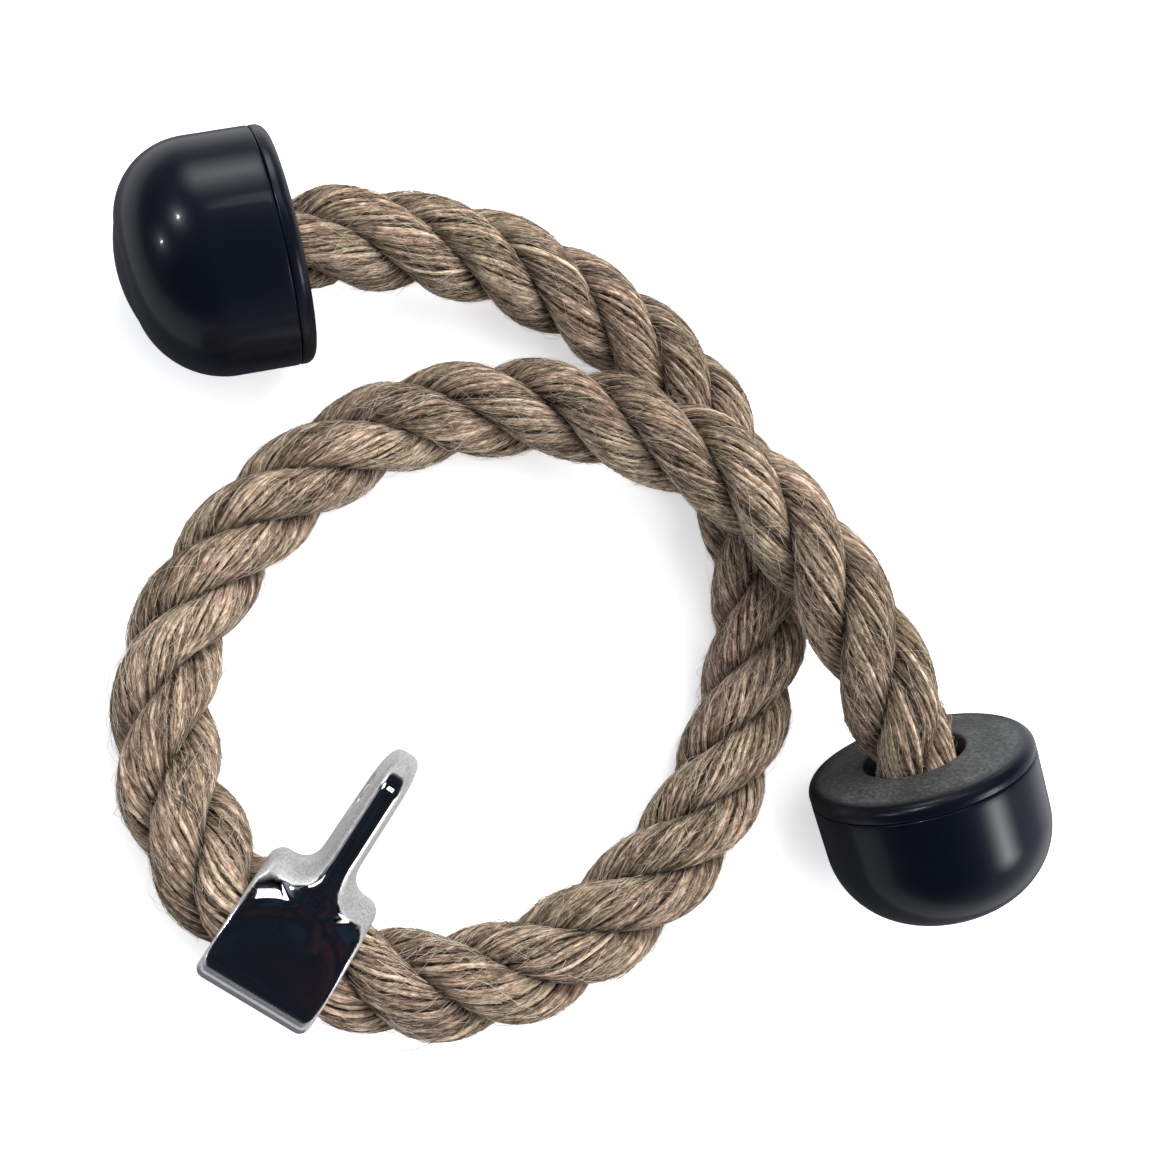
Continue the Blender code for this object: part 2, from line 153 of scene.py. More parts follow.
RUBBER_COLOUR = (0.0020, 0.0034, 0.0078)
FIBRE_LAYERS = ("under", "over")

# Forms of the bracket's casting, in millimetres
BRACKET_GRID = 0.42
SHOULDER_ROUND = 12.0
FOOT_ROUND = 6.5
COLLAR_EDGE = 1.2
SHOULDER_EDGE = 2.8
FOOT_EDGE = 1.4
FACET_LEAN = (0.16, 0.27, 0.95)
FACET_POINT = (10.0, 5.0, 18.2)
FACET_BULGE = 60.0
FACET_BLEND = 1.2
FACET_TOP_BLEND = 2.4
WEB_DEPTH = 16.0
WEB_POWER = 3.8
WEB_FLARE_TOP = 16.5
WEB_FLARE_RATE = 0.27
WEB_WIDEST = 9.0
WEB_LEAN = 0.014
WEB_ROLL = 0.03
WEB_SLIM = 0.6
TIP_TRIM = 0.6
FRONT_BLEND = 1.7
WAIST_BLEND = 6.5
SATIN_LEAN = (0.84, 0.90)
BORE_MOUTH_BLEND = 2.4
EYE_MOUTH_BLEND = 2.2


def clear_scene():
    for obj in list(bpy.data.objects):
        bpy.data.objects.remove(obj, do_unlink=True)


def link(obj):
    bpy.context.scene.collection.objects.link(obj)
    return obj


# Camera

def make_camera():
    """The photograph's close, slightly leaning view from above."""
    data = bpy.data.cameras.new("camera")
    data.sensor_width = SENSOR_WIDTH
    data.lens = SENSOR_WIDTH * FOCAL_SHARE
    data.clip_start = 0.01
    data.clip_end = 20.0
    camera = link(bpy.data.objects.new("camera", data))
    place = Vector(CAMERA_PLACE)
    back = (place - Vector(CAMERA_TARGET)).normalized()
    up = Vector(IMAGE_UP)
    up = (up - back * up.dot(back)).normalized()
    right = up.cross(back)
    turn = Matrix((right, up, back)).transposed().to_4x4()
    camera.matrix_world = Matrix.Translation(place) @ turn
    bpy.context.scene.camera = camera


# Curves and frames along the rope

def smooth_line(points, leaving, arriving, steps=24):
    """A dense Catmull-Rom line that leaves and arrives in the given directions."""
    points = np.array(points, float)
    first = np.linalg.norm(points[1] - points[0])
    last = np.linalg.norm(points[-1] - points[-2])
    ends = np.vstack([
        points[1] - 2 * first * np.array(leaving),
        points,
        points[-2] + 2 * last * np.array(arriving),
    ])
    t = np.linspace(0, 1, steps, endpoint=False)[:, None]
    line = []
    for a, b, c, d in zip(ends, ends[1:], ends[2:], ends[3:]):
        line.append(0.5 * (2 * b + (c - a) * t + (2 * a - 5 * b + 4 * c - d) * t ** 2
                           + (3 * b - a - 3 * c + d) * t ** 3))
    line.append(points[-1:])
    return np.vstack(line)


def even_line(line, spacing):
    """The same line with points at an even distance."""
    lengths = np.concatenate([[0], np.cumsum(np.linalg.norm(np.diff(line, axis=0), axis=1))])
    count = max(int(round(lengths[-1] / spacing)), 1)
    wanted = np.linspace(0, lengths[-1], count + 1)
    return np.stack([np.interp(wanted, lengths, line[:, i]) for i in range(3)], 1), wanted


def unit(v):
    return v / np.linalg.norm(v, axis=-1, keepdims=True)


def carried_frames(line):
    """Tangents and two normals at each point, carried along with no twist of their own."""
    tangents = unit(np.gradient(line, axis=0))
    normals = np.zeros_like(line)
    normal = np.array([0.0, 0.0, 1.0])
    for i, tangent in enumerate(tangents):
        normal = normal - tangent * normal.dot(tangent)
        normal /= np.linalg.norm(normal)
        normals[i] = normal
    return tangents, normals, np.cross(tangents, normals)


def eased(value, start, end):
    """Nought before start, one after end, and a smooth rise between them."""
    share = np.clip((value - start) / (end - start), 0, 1)
    return share * share * (3 - 2 * share)


def facing(heading, pitch):
    level = math.cos(pitch)
    return np.array([math.cos(heading) * level, math.sin(heading) * level, math.sin(pitch)])


def wander(rng, count, spacing, scale, amount):
    """A smooth random walk about zero, with bumps about scale long."""
    knots = max(int(count * spacing / scale) + 4, 5)
    values = rng.normal(0, amount, knots)
    at = np.linspace(0, knots - 1, count)
    i = np.clip(at.astype(int), 0, knots - 2)
    f = at - i
    f = f * f * (3 - 2 * f)
    return values[i] * (1 - f) + values[i + 1] * f


class MeshParts:
    """Gathers vertices, faces and values for one mesh of tubes."""

    def __init__(self):
        self.points = []
        self.faces = []
        self.uvs = []
        self.values = []
        self.count = 0

    def tube(self, line, radius, sides, seed_value, core, core_reach, uv_box):
        """An open tube. Its values tell how far each point lies out from the strand's core."""
        count = len(line)
        radius = np.broadcast_to(radius, (count,))
        tangents = unit(np.gradient(line, axis=0))
        guide = np.array([0.0, 0.0, 1.0])
        normals = np.zeros_like(line)
        for i, tangent in enumerate(tangents):
            guide = guide - tangent * guide.dot(tangent)
            size = np.linalg.norm(guide)
            if size < 0.1:
                guide = np.cross(tangent, [1.0, 0.0, 0.0])
                size = np.linalg.norm(guide)
            guide = guide / size
            normals[i] = guide
        sideways = np.cross(tangents, normals)
        turn = np.arange(sides) * TAU / sides
        ring = (normals[:, None] * np.cos(turn)[None, :, None]
                + sideways[:, None] * np.sin(turn)[None, :, None])
        points = line[:, None] + ring * radius[:, None, None]
        first = self.count
        self.points.append(points.reshape(-1, 3))
        grid = first + np.arange(count * sides).reshape(count, sides)
        after = np.roll(grid, -1, axis=1)
        self.faces.append(np.stack([grid[:-1], after[:-1], after[1:], grid[1:]], -1).reshape(-1, 4))
        self.uvs.append(strip_corners(count, sides, uv_box))
        reach = np.linalg.norm(points - core[:, None], axis=2)
        lift = (reach - np.linalg.norm(line - core, axis=1)[:, None]) / radius[:, None]
        seed_values = np.full((count, sides), seed_value)
        depth = np.broadcast_to(np.asarray(core_reach)[:, None], (count, sides))
        self.values.append(np.stack([seed_values, depth, lift], -1).reshape(-1, 3))
        self.count += count * sides

    def build(self, name, value_names):
        points = np.vstack(self.points)
        points[:, 2] = np.maximum(points[:, 2], ROPE_LOWEST)
        mesh = quad_mesh(name, points, np.vstack(self.faces))
        layer = mesh.uv_layers.new(name="OFBake")
        layer.data.foreach_set("uv", np.vstack(self.uvs).astype(np.float32).ravel())
        for value_name, values in zip(value_names, np.vstack(self.values).T):
            point_values(mesh, value_name, values)
        return link(bpy.data.objects.new(name, mesh))


def point_values(mesh, name, values):
    """One value for each vertex, for a material to read."""
    layer = mesh.attributes.new(name, "FLOAT", "POINT")
    layer.data.foreach_set("value", np.ascontiguousarray(values, np.float32))


def quad_mesh(name, points, faces):
    """A smooth-shaded mesh of four-sided faces."""
    mesh = bpy.data.meshes.new(name)
    mesh.vertices.add(len(points))
    mesh.vertices.foreach_set("co", points.astype(np.float32).ravel())
    mesh.loops.add(faces.size)
    mesh.loops.foreach_set("vertex_index", faces.ravel().astype(np.int32))
    mesh.polygons.add(len(faces))
    mesh.polygons.foreach_set("loop_start", (np.arange(len(faces)) * 4).astype(np.int32))
    mesh.update()
    mesh.polygons.foreach_set("use_smooth", np.ones(len(faces), bool))
    mesh.validate()
    return mesh


def strip_corners(count, sides, uv_box):
    """Texture corners of a tube unrolled into one strip."""
    low_u, low_v, high_u, high_v = uv_box
    u = np.linspace(low_u, high_u, count)
    v = np.linspace(low_v, high_v, sides + 1)
    u0, u1 = u[:-1, None], u[1:, None]
    v0, v1 = v[None, :-1], v[None, 1:]
    corners = [np.broadcast_arrays(*pair) for pair in ((u0, v0), (u0, v1), (u1, v1), (u1, v0))]
    return np.stack([np.stack(pair, -1) for pair in corners], 2).reshape(-1, 2)


def rope_route(way, run, centre, out):
    start = np.array([way * FIT_GAP / 2, 0, HINGE_HEIGHT])
    leave = np.array([way * (COLLAR_LENGTH / 2 + COLLAR_STRAIGHT), 0, HINGE_HEIGHT])
    before_cap = centre + out * CAP_STRAIGHT
    free = smooth_line([leave, *run, before_cap], (way, 0, 0), -out)
    return np.vstack([start, free, centre - out * ROPE_END_DEPTH])


class Lay:
    """Where the three strands lie along one leg of the rope."""

    def __init__(self, route, phase, lay_start, lay_growth, swell, nudge):
        self.line, self.along = even_line(route, YARN_STEP)
        near_cap = eased(self.along, self.along[-1] - 0.075, self.along[-1] - ROPE_END_DEPTH)
        self.line = self.line + near_cap[:, None] * nudge
        self.tangents, self.normals, self.sides = carried_frames(self.line)
        lay = lay_start + lay_growth * self.along
        self.rate = TAU / lay
        steps = np.diff(self.along, prepend=0.0)
        self.heading = phase + np.cumsum(self.rate * steps)
        mouth = COLLAR_LENGTH / 2 + 0.004
        cap_face = self.along[-1] - ROPE_END_DEPTH
        free = np.clip((self.along - mouth) / 0.014, 0, 1)
        free = free * np.clip((cap_face - 0.001 - self.along) / 0.008, 0, 1)
        at, size = zip(*swell)
        self.size = 1 + free * (np.interp(self.along, at, size) - 1)
        neck = eased(self.along, cap_face - NECK_LENGTH, cap_face)
        self.size = self.size * (1 - (1 - NECK_SIZE) * neck)
        depth_reach = STRAND_DEPTH - YARN_RADIUS
        breadth_reach = STRAND_BREADTH - YARN_RADIUS
        self.back = -self.rate * (STRAND_ORBIT + depth_reach) / breadth_reach
        self.back_turn = np.cumsum(self.back * steps)

    def axes(self, strand):
        heading = self.heading + strand * TAU / 3
        outward = self.normals * np.cos(heading)[:, None] + self.sides * np.sin(heading)[:, None]
        sideways = self.sides * np.cos(heading)[:, None] - self.normals * np.sin(heading)[:, None]
        return outward, sideways


def keep_in_wedge(x, y, limit):
    """Push points of a strand's section out of its neighbours' thirds."""
    room = x * math.sin(TAU / 6) - np.abs(y) * math.cos(TAU / 6)
    push = np.maximum(limit - room, 0)
    return x + push * math.sin(TAU / 6), y - np.sign(y) * push * math.cos(TAU / 6)


def make_rope(name, lay, seed, material):
    """One leg of three-strand rope, yarn by yarn."""
    rng = np.random.default_rng(seed)
    line, count = lay.line, len(lay.line)
    parts = MeshParts()
    depth_reach = STRAND_DEPTH - YARN_RADIUS
    breadth_reach = STRAND_BREADTH - YARN_RADIUS
    rows = 3 * YARNS_PER_STRAND + 3
    row = 0
    outer = ROPE_DIAMETER / 2
    for strand in range(3):
        outward, sideways = lay.axes(strand)
        core = line + outward * (STRAND_ORBIT * lay.size)[:, None]
        parts.tube(core, STRAND_DEPTH - 1.5 * YARN_RADIUS, 8, 0.5, line,
                   np.full(count, 0.35), (0, row / rows, 1, (row + 1) / rows))
        row += 1
        for yarn in range(YARNS_PER_STRAND):
            angle = (yarn + 0.45 * rng.random()) * TAU / YARNS_PER_STRAND + lay.back_turn
            angle = angle + wander(rng, count, YARN_STEP, 0.018, 0.060)
            lift = wander(rng, count, YARN_STEP, 0.010, 0.00017) + rng.normal(0, 0.00014)
            x = STRAND_ORBIT + (depth_reach + lift) * np.cos(angle)
            y = (breadth_reach + lift) * np.sin(angle)
            x, y = keep_in_wedge(x, y, YARN_RADIUS * 0.85)
            path = line + outward * (x * lay.size)[:, None] + sideways * (y * lay.size)[:, None]
            radius = YARN_RADIUS * (1 + rng.normal(0, 0.10)
                                    + wander(rng, count, YARN_STEP, 0.008, 0.09))
            parts.tube(path, radius, YARN_SIDES, rng.random(), core, np.hypot(x, y) / outer,
                       (0, row / rows, 1, (row + 0.96) / rows))
            row += 1
    leg = parts.build(name, ("yarn_seed", "yarn_depth", "yarn_lift"))
    leg.data.materials.append(material)
    return leg


def make_fibres(name, lay, seed, material):
    """Loose fibres: most lie along the yarns, some arch away from them, a few stand out."""
    rng = np.random.default_rng(seed)
    first = COLLAR_LENGTH / 2 + 0.0015
    last = lay.along[-1] - ROPE_END_DEPTH - 0.0005
    total = int(FIBRES_PER_METRE * (last - first))
    share = np.linspace(0, 1, FIBRE_JOINTS)
    kind = rng.random(total)
    wild = kind > 0.95
    arching = (kind > 0.62) & ~wild
    length = 0.004 + 0.008 * rng.random(total) + wild * 0.006 * rng.random(total)
    way = np.where(rng.random(total) < 0.5, 1.0, -1.0)
    begin = first + (last - first) * rng.random(total)
    end = np.clip(begin + way * length, first, last)
    s = begin[:, None] + (end - begin)[:, None] * share
    start_angle = rng.normal(0, 0.95, total)
    stray = rng.normal(0, 0.33, total) + arching * rng.normal(0, 0.45, total)
    stray = stray + wild * rng.normal(0, 0.7, total)
    back = np.interp(s, lay.along, lay.back_turn)
    angle = start_angle[:, None] + (back - back[:, :1]) + stray[:, None] * share
    angle = angle + rng.normal(0, 0.07, total)[:, None] * np.sin(math.pi * share)
    low = rng.normal(0.00008, 0.00012, total)
    near_cap = eased(begin, last - 0.016, last)
    rise = arching * np.abs(rng.normal(0, 0.0006, total))
    rise = rise + wild * np.abs(rng.normal(0, 0.0019, total))
    rise = rise * (1 + near_cap)
    shape = np.where((rng.random(total) < 0.5)[:, None], share ** 1.5, np.sin(math.pi * share))
    lift = low[:, None] + rise[:, None] * shape
    x = STRAND_ORBIT + (STRAND_DEPTH + lift) * np.cos(angle)
    y = (STRAND_BREADTH + lift) * np.sin(angle)
    size = np.interp(s, lay.along, lay.size)
    strand = rng.integers(0, 3, total)
    heading = np.interp(s, lay.along, lay.heading) + strand[:, None] * TAU / 3
    at_line = np.stack([np.interp(s, lay.along, lay.line[:, i]) for i in range(3)], -1)
    normal = np.stack([np.interp(s, lay.along, lay.normals[:, i]) for i in range(3)], -1)
    side = np.stack([np.interp(s, lay.along, lay.sides[:, i]) for i in range(3)], -1)
    outward = normal * np.cos(heading)[..., None] + side * np.sin(heading)[..., None]
    sideways = side * np.cos(heading)[..., None] - normal * np.sin(heading)[..., None]
    path = at_line + outward * (x * size)[..., None] + sideways * (y * size)[..., None]
    core = at_line + outward * (STRAND_ORBIT * size)[..., None]
    path[..., 2] = np.maximum(path[..., 2], FIBRE_LOWEST)
    thick = 0.00005 + 0.00006 * rng.random(total) ** 1.5 - 0.00002 * (wild | arching)
    thick = thick[:, None] * np.linspace(1.0, 0.6, FIBRE_JOINTS)
    parts = MeshParts()
    cells = int(math.ceil(math.sqrt(total)))
    for i in range(total):
        column, row = i % cells, i // cells
        box = (column / cells, row / cells, (column + 0.9) / cells, (row + 0.9) / cells)
        parts.tube(path[i], thick[i], 3, rng.random(), core[i], np.ones(FIBRE_JOINTS), box)
    fibres = parts.build(name, ("yarn_seed", "yarn_depth", "yarn_lift"))
    fibres.data.materials.append(material)
    return fibres


# The bracket, as a smooth casting

def soft_least(a, b, blend):
    share = np.maximum(blend - np.abs(a - b), 0) / blend
    return np.minimum(a, b) - share ** 2 * blend / 4


def soft_most(a, b, blend):
    return -soft_least(-a, -b, blend)


def rounded_pair(a, b, edge):
    """Distance to the meeting of two distances whose edge is rounded."""
    a, b = a + edge, b + edge
    inside = np.minimum(np.maximum(a, b), 0)
    return inside + np.hypot(np.maximum(a, 0), np.maximum(b, 0)) - edge


def web_distance(x, y, z):
    """The stalk and eye: their side outline, swelling to a soft thickness between its edges."""
    half = HINGE_HEIGHT / MM
    reach = EYE_REACH / MM - TIP_TRIM
    eye_radius = (EYE_BORE_RADIUS + EYE_WALL) / MM - TIP_TRIM
    slope = math.asin((half - eye_radius) / reach)
    flank = y * math.sin(slope) + np.abs(z) * math.cos(slope) - half
    turned = np.hypot(y - reach, z) - eye_radius
    side = np.where(y < reach + eye_radius * math.sin(slope), flank, turned)
    side = np.maximum(side, -y)
    below = np.maximum(WEB_FLARE_TOP - y, 0)
    narrow = STALK_THICKNESS / 2 / MM - WEB_SLIM
    breadth = np.minimum(narrow + WEB_FLARE_RATE * below ** 1.6, WEB_WIDEST)
    across = np.abs(x - WEB_LEAN * y - WEB_ROLL * z) / breadth
    depth = np.maximum(1 + side / WEB_DEPTH, 0)
    swell = (across ** WEB_POWER + depth ** WEB_POWER) ** (1 / WEB_POWER)
    steep = np.hypot(across ** (WEB_POWER - 1) / breadth, depth ** (WEB_POWER - 1) / WEB_DEPTH)
    steep = steep / np.maximum(swell, 0.1) ** (WEB_POWER - 1)
    return (swell - 1) / np.maximum(steep, 0.5 / WEB_DEPTH)


def bracket_distance(x, y, z):
    """Signed distance to the bracket in millimetres, about the rope's axis."""
    half = HINGE_HEIGHT / MM
    wide = COLLAR_LENGTH / 2 / MM
    high = np.abs(z)
    corner = np.where(y > 0, SHOULDER_ROUND, FOOT_ROUND)
    ring = rounded_pair(np.abs(y) - half, high - half, corner)
    edge = COLLAR_EDGE + eased(np.abs(y), 8.0, 17.0) * np.where(y > 0, SHOULDER_EDGE, FOOT_EDGE)
    collar = rounded_pair(ring, np.abs(x) - wide, edge)
    lean = np.array(FACET_LEAN)
    lean = lean / np.linalg.norm(lean)
    middle = np.array(FACET_POINT) - lean * FACET_BULGE
    facet = np.sqrt((np.abs(x) - middle[0]) ** 2 + (y - middle[1]) ** 2
                    + (high - middle[2]) ** 2) - FACET_BULGE
    collar = soft_most(collar, facet, FACET_BLEND + FACET_TOP_BLEND * eased(y, 8.0, 13.0))
    sharp = eased(high, 8.0, 16.0) * (1 - eased(y, 8.0, 13.5))
    blend = WAIST_BLEND + (FRONT_BLEND - WAIST_BLEND) * sharp
    whole = soft_least(collar, web_distance(x, y, z), blend)
    whole = soft_most(whole, high - half, 0.8)
    bore = ROPE_DIAMETER / 2 / MM + FIT_GAP / MM
    whole = soft_most(whole, bore - np.hypot(y, z), BORE_MOUTH_BLEND)
    eye = EYE_BORE_RADIUS / MM - np.hypot(y - EYE_REACH / MM + TIP_TRIM, z)
    return soft_most(whole, eye, EYE_MOUTH_BLEND)


def net_of(distance, low, high, step):
    """Points and four-sided faces of a distance's zero surface."""
    axes = [np.arange(a, b + step, step) for a, b in zip(low, high)]
    field = distance(*np.meshgrid(*axes, indexing="ij"))
    inside = field < 0
    shape = tuple(n - 1 for n in field.shape)
    total = np.zeros(shape + (3,))
    hits = np.zeros(shape)
    for axis in range(3):
        others = [i for i in range(3) if i != axis]
        near = np.take(field, range(field.shape[axis] - 1), axis)
        far = np.take(field, range(1, field.shape[axis]), axis)
        crossed = (near < 0) != (far < 0)
        share = np.where(crossed, near / np.where(crossed, near - far, 1), 0)
        for one in (0, 1):
            for two in (0, 1):
                window = [slice(None)] * 3
                window[others[0]] = slice(one, one + shape[others[0]])
                window[others[1]] = slice(two, two + shape[others[1]])
                window = tuple(window)
                hit = crossed[window]
                hits += hit
                total[..., axis] += np.where(hit, share[window], 0)
                total[..., others[0]] += np.where(hit, one, 0)
                total[..., others[1]] += np.where(hit, two, 0)
    used = hits > 0
    index = np.full(shape, -1)
    index[used] = np.arange(used.sum())
    cells = np.argwhere(used)
    points = np.array(low) + (cells + total[used] / hits[used][:, None]) * step
    faces = []
    for axis in range(3):
        first, second = (axis + 1) % 3, (axis + 2) % 3
        near = np.take(inside, range(field.shape[axis] - 1), axis)
        far = np.take(inside, range(1, field.shape[axis]), axis)
        crossed = np.argwhere(near != far)
        crossed = crossed[(crossed[:, first] > 0) & (crossed[:, second] > 0)]
        crossed = crossed[(crossed[:, first] < field.shape[first] - 1)
                          & (crossed[:, second] < field.shape[second] - 1)]
        corners = []
        for back_first, back_second in ((1, 1), (0, 1), (0, 0), (1, 0)):
            cell = crossed.copy()
            cell[:, first] -= back_first
            cell[:, second] -= back_second
            corners.append(index[tuple(cell.T)])
        quads = np.stack(corners, 1)
        flip = ~near[tuple(crossed.T)]
        quads[flip] = quads[flip][:, ::-1]
        faces.append(quads)
    return points, np.vstack(faces)


def slopes(distance, points, reach=0.05):
    """Unit normals of a distance at some points."""
    normals = np.zeros_like(points)
    for axis in range(3):
        move = np.zeros(3)
        move[axis] = reach
        ahead = distance(*(points + move).T)
        behind = distance(*(points - move).T)
        normals[:, axis] = ahead - behind
    return unit(normals)


def make_bracket(material):
    half = HINGE_HEIGHT / MM
    tip = (EYE_REACH + EYE_BORE_RADIUS + EYE_WALL) / MM
    wide = COLLAR_LENGTH / 2 / MM
    low = (-wide - 1.03, -half - 1.07, -half - 1.01)
    high = (wide + 1.0, tip + 1.0, half + 1.0)
    points, faces = net_of(bracket_distance, low, high, BRACKET_GRID)
    for _ in range(3):
        normals = slopes(bracket_distance, points)
        points = points - normals * bracket_distance(*points.T)[:, None]
    normals = slopes(bracket_distance, points, 0.12)
    satin_and_shade = 1 - eased(np.abs(normals[:, 2]), *SATIN_LEAN)
    # painted shade: sides facing -Y lose most of their satin, so their polished reflection makes
    # them darker, standing in for less light from that side
    satin_and_shade = satin_and_shade * (1 - 0.65 * eased(-normals[:, 1], 0.35, 0.70))
    points = points * MM + np.array([0, 0, HINGE_HEIGHT])
    mesh = quad_mesh("eye_casting", points, faces)
    mesh.normals_split_custom_set_from_vertices(normals.tolist())
    point_values(mesh, "satin_and_shade_share", satin_and_shade)
    mesh.materials.append(material)
    return link(bpy.data.objects.new("eye_casting", mesh))


# The rubber caps, as fine turned shapes

def face_height(pitch):
    """Height of the face's middle when the tipped cap lies on the ground."""
    outline = np.vstack([disc_outline(), cup_outline()])
    return float((outline[:, 0] * math.sin(pitch) + outline[:, 1] * math.cos(pitch)).max())


def arc_points(centre, radius, start, end, steps):
    turn = np.linspace(start, end, steps + 1)
    return np.stack([centre[0] + radius * np.cos(turn), centre[1] + radius * np.sin(turn)], 1)


def cup_outline():
    """(depth, radius) points of the cup: mouth, wall, round shoulder and crowned end."""
    mouth = DISC_THICKNESS + 0.0001
    lip = 0.0006
    wall_end = CAP_DEPTH - CAP_CROWN - CAP_CORNER_RADIUS
    last = math.radians(80)
    rim = arc_points((mouth + lip, CAP_RADIUS - lip), lip, math.pi, math.pi / 2, 6)
    rim = np.vstack([[mouth, CAP_RADIUS - 0.0080], [mouth, CAP_RADIUS - 0.0040], rim])
    wall = np.stack([np.linspace(mouth + 0.002, wall_end, 10)[:-1],
                     CAP_RADIUS - CAP_DRAFT * np.linspace(0, 1, 10)[:-1]], 1)
    turn = np.linspace(0, last, 28)
    end_radius = CAP_RADIUS - CAP_DRAFT
    shoulder = np.stack([wall_end + CAP_CORNER_RADIUS * np.sin(turn),
                         end_radius - CAP_CORNER_RADIUS * (1 - np.cos(turn))], 1)
    depth, radius = shoulder[-1]
    share = np.linspace(0.9, 0.0, 10)
    crown = np.stack([CAP_DEPTH - (CAP_DEPTH - depth) * share ** 2, radius * share], 1)
    return np.vstack([rim, wall, shoulder, crown])


def disc_outline():
    """(depth, radius) points of the face: hole, crowned front, rolled rim, back."""
    hole = ROPE_DIAMETER / 2 + 0.0009
    quarter = math.pi / 2
    edge = 0.0010
    brim = CAP_RADIUS - DISC_EDGE_ROUND
    inner = arc_points((edge, hole + edge), edge, -quarter, -2 * quarter, 6)
    flat = np.stack([np.zeros(12), np.linspace(hole + 1.6 * edge, brim - 0.0005, 12)], 1)
    top = np.vstack([inner, flat])
    top[:, 0] -= FACE_CROWN * (1 - (top[:, 1] / brim) ** 2)
    front = arc_points((DISC_EDGE_ROUND, brim), DISC_EDGE_ROUND, math.pi, quarter, 14)
    wall = [[DISC_THICKNESS - 0.0009, CAP_RADIUS]]
    rear = arc_points((DISC_THICKNESS - 0.0006, CAP_RADIUS - 0.0006), 0.0006, quarter, 0, 6)
    back = [[DISC_THICKNESS, hole]]
    return np.vstack([back, top, front, wall, rear, back])


def turned_shape(name, outline, centre, out, material, skew, hole_shift, steps=144):
    """Turn (depth, radius) points about the cap's axis. The skew leans the rubber a little."""
    heading = math.atan2(out[1], out[0])
    across = np.array([-math.sin(heading), math.cos(heading), 0.0])
    third = np.cross(out, across)
    turn = np.arange(steps) * TAU / steps
    ring = np.cos(turn)[:, None] * across + np.sin(turn)[:, None] * third
    depth, radius = outline[:, 0], outline[:, 1]
    lean = skew * (depth - CAP_DEPTH * 0.4)
    lean = lean + hole_shift * (1 - eased(radius, ROPE_DIAMETER / 2, CAP_RADIUS - DISC_EDGE_ROUND))
    points = (centre - depth[:, None, None] * out + radius[:, None, None] * ring[None]
              + lean[:, None, None] * across)
    points[..., 2] = np.maximum(points[..., 2], RUBBER_LOWEST)
    count = len(outline)
    grid = np.arange(count * steps).reshape(count, steps)
    after = np.roll(grid, -1, axis=1)
    faces = np.stack([grid[:-1], after[:-1], after[1:], grid[1:]], -1).reshape(-1, 4)
    mesh = quad_mesh(name, points.reshape(-1, 3), faces)
    matt = 1 - eased(radius, CAP_RADIUS - 0.0052, CAP_RADIUS - 0.0016)
    point_values(mesh, "matt_share", np.repeat(matt, steps))
    mesh.materials.append(material)
    return link(bpy.data.objects.new(name, mesh))


def make_cap(side, centre, out, skew, hole_shift, rubber, face):
    cup = turned_shape(side + "_cup", cup_outline(), centre, out, rubber, skew, 0.0)
    disc = turned_shape(side + "_face", disc_outline(), centre, out, face, skew, hole_shift)
    for piece, node, slot in (
        (cup, "_cap_cup", "black_rubber"),
        (disc, "_cap_face_disc", "face_rubber"),
    ):
        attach(piece, "rope_and_caps")
        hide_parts(side + node)


# Node helpers

def new_material(name):
    material = bpy.data.materials.new(name)
    material.use_nodes = True
    tree = material.node_tree
    shader = tree.nodes["Principled BSDF"]
    return material, tree, shader


def add(tree, kind, **settings):
    node = tree.nodes.new(kind)
    for key, value in settings.items():
        setattr(node, key, value)
    return node


def set_in(node, **values):
    for key, value in values.items():
        node.inputs[key.replace("_", " ")].default_value = value
    return node


def multiply(tree, first, second):
    mix = add(tree, "ShaderNodeMix", data_type="RGBA", blend_type="MULTIPLY")
    mix.inputs["Factor"].default_value = 1.0
    tree.links.new(first, mix.inputs["A"])
    tree.links.new(second, mix.inputs["B"])
    return mix.outputs["Result"]


def ramp_of(tree, value, stops):
    ramp = add(tree, "ShaderNodeValToRGB")
    elements = ramp.color_ramp.elements
    elements[0].position, elements[0].color = stops[0][0], (*stops[0][1], 1)
    elements[1].position, elements[1].color = stops[-1][0], (*stops[-1][1], 1)
    for at, colour in stops[1:-1]:
        elements.new(at).color = (*colour, 1)
    tree.links.new(value, ramp.inputs["Fac"])
    return ramp.outputs["Color"]


def noise_of(tree, scale, detail, roughness, vector=None):
    """Noise in the object's own coordinates, or along another vector."""
    if vector is None:
        vector = add(tree, "ShaderNodeTexCoord").outputs["Object"]
    noise = set_in(add(tree, "ShaderNodeTexNoise"), Scale=scale, Detail=detail, Roughness=roughness)
    tree.links.new(vector, noise.inputs["Vector"])
    return noise.outputs["Fac"]


def spread_of(tree, value, to_low, to_high, low=0.0, high=1.0):
    """A number that runs from to_low to to_high while the value runs from low to high."""
    spread = set_in(add(tree, "ShaderNodeMapRange"), From_Min=low, From_Max=high,
                    To_Min=to_low, To_Max=to_high)
    tree.links.new(value, spread.inputs["Value"])
    return spread.outputs["Result"]


def grey_of(tree, value, low, high, dark, light):
    """A grey that runs from dark to light while the value runs from low to high."""
    level = spread_of(tree, value, dark, light, low, high)
    grey = add(tree, "ShaderNodeCombineColor")
    for channel in ("Red", "Green", "Blue"):
        tree.links.new(level, grey.inputs[channel])
    return grey.outputs["Color"]


def sum_of(tree, value, factor, rest):
    """The value times a factor, and the rest added."""
    both = add(tree, "ShaderNodeMath", operation="MULTIPLY_ADD")
    both.inputs[1].default_value = factor
    tree.links.new(value, both.inputs[0])
    tree.links.new(rest, both.inputs[2])
    return both.outputs[0]


